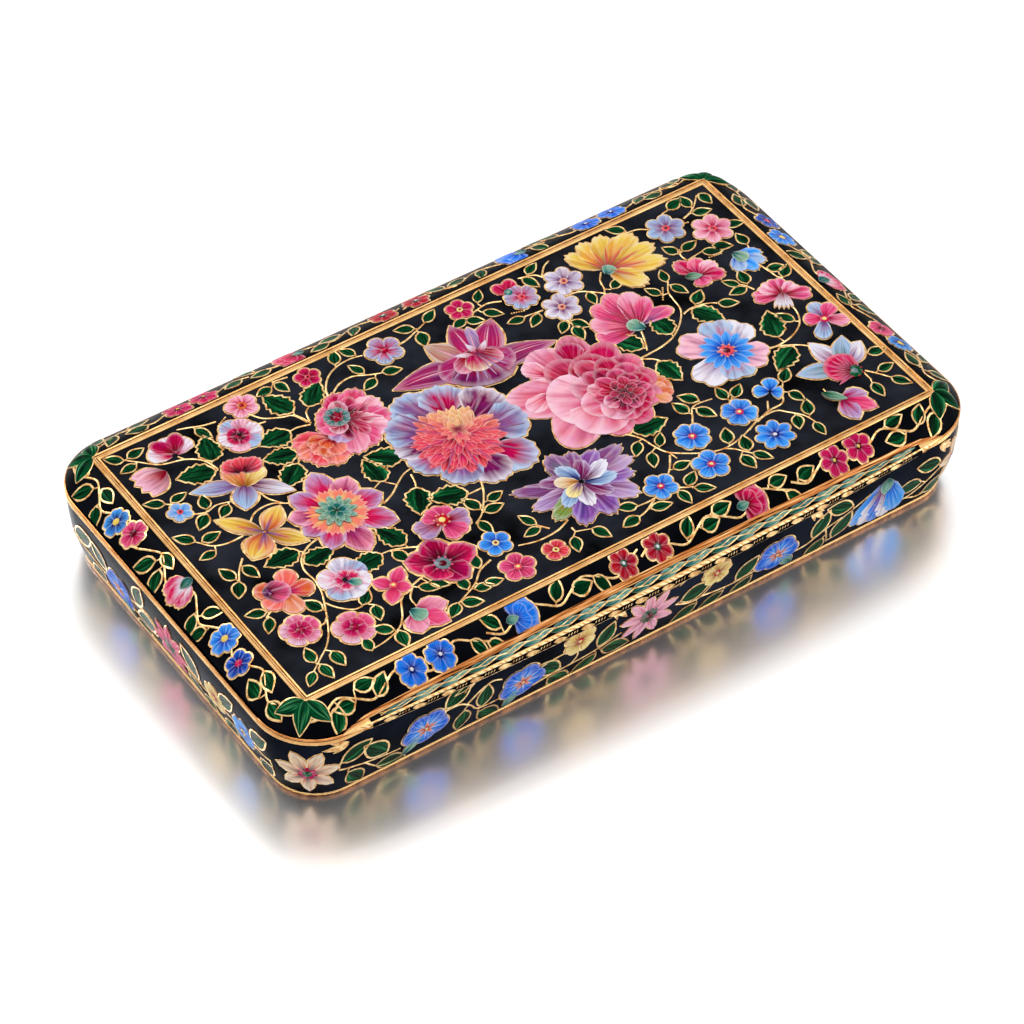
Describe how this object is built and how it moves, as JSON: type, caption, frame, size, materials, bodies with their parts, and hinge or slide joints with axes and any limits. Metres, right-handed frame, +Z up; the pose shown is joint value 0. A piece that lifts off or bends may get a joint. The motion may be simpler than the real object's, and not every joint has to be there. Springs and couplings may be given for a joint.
{
  "type": "enamel snuff box",
  "caption": "Slim rectangular hinged gold snuff box with rounded corners, a crescent thumb lip and black enamel panels with floral sprays.",
  "frame": {"origin": "middle of the flat bottom face that the box rests on", "axes": "+X along the long side to the viewer's right, +Y from the thumb lip to the hinge, +Z up out of the lid"},
  "size_m": [0.09, 0.0535, 0.0133],
  "materials": {
    "yellow_gold": "polished yellow gold, fine hand wear",
    "pale_gold": "bright burnished gold wire and chased work",
    "black_enamel": "fired opaque black enamel, satin gloss, painted and gold-outlined flowers",
    "green_enamel": "translucent green enamel over gold, glossy",
    "teal_enamel": "translucent teal enamel leaves on a black ground"
  },
  "bodies": {
    "base": {"base_wall_band": "yellow_gold", "base_wall_enamel": "black_enamel", "base_rim_bead": "pale_gold", "base_foot_rim": "yellow_gold", "base_bottom_enamel": "black_enamel", "base_floor_plate": "yellow_gold", "base_bezel": "yellow_gold", "base_hinge_knuckle_1": "yellow_gold", "base_hinge_knuckle_2": "yellow_gold", "base_hinge_knuckle_3": "yellow_gold", "base_hinge_knuckle_4": "yellow_gold", "base_hinge_knuckle_5": "yellow_gold", "hinge_pin": "yellow_gold", "hinge_end_cap_left": "pale_gold", "hinge_end_cap_right": "pale_gold"},
    "lid": {"lid_shell": "yellow_gold", "lid_border_enamel": "black_enamel", "lid_rim_wire": "yellow_gold", "lid_fillet": "pale_gold", "lid_top_enamel": "black_enamel", "lid_lining": "yellow_gold", "lid_corner_leaf_front_left": "green_enamel", "lid_corner_leaf_front_right": "green_enamel", "lid_corner_leaf_back_left": "green_enamel", "lid_corner_leaf_back_right": "green_enamel", "lid_hinge_knuckle_1": "yellow_gold", "lid_hinge_knuckle_2": "yellow_gold", "lid_hinge_knuckle_3": "yellow_gold", "lid_hinge_knuckle_4": "yellow_gold", "thumb_lip": "pale_gold", "thumb_lip_leaf_enamel": "teal_enamel", "thumb_lip_dash_enamel": "black_enamel"}
  },
  "joints": [
    {"name": "lid_hinge", "type": "hinge", "parent": "base", "child": "lid", "pos_m": [0, 0.0254, 0.00911], "axis": [-1, 0, 0], "range_deg": [0, 100]}
  ]
}
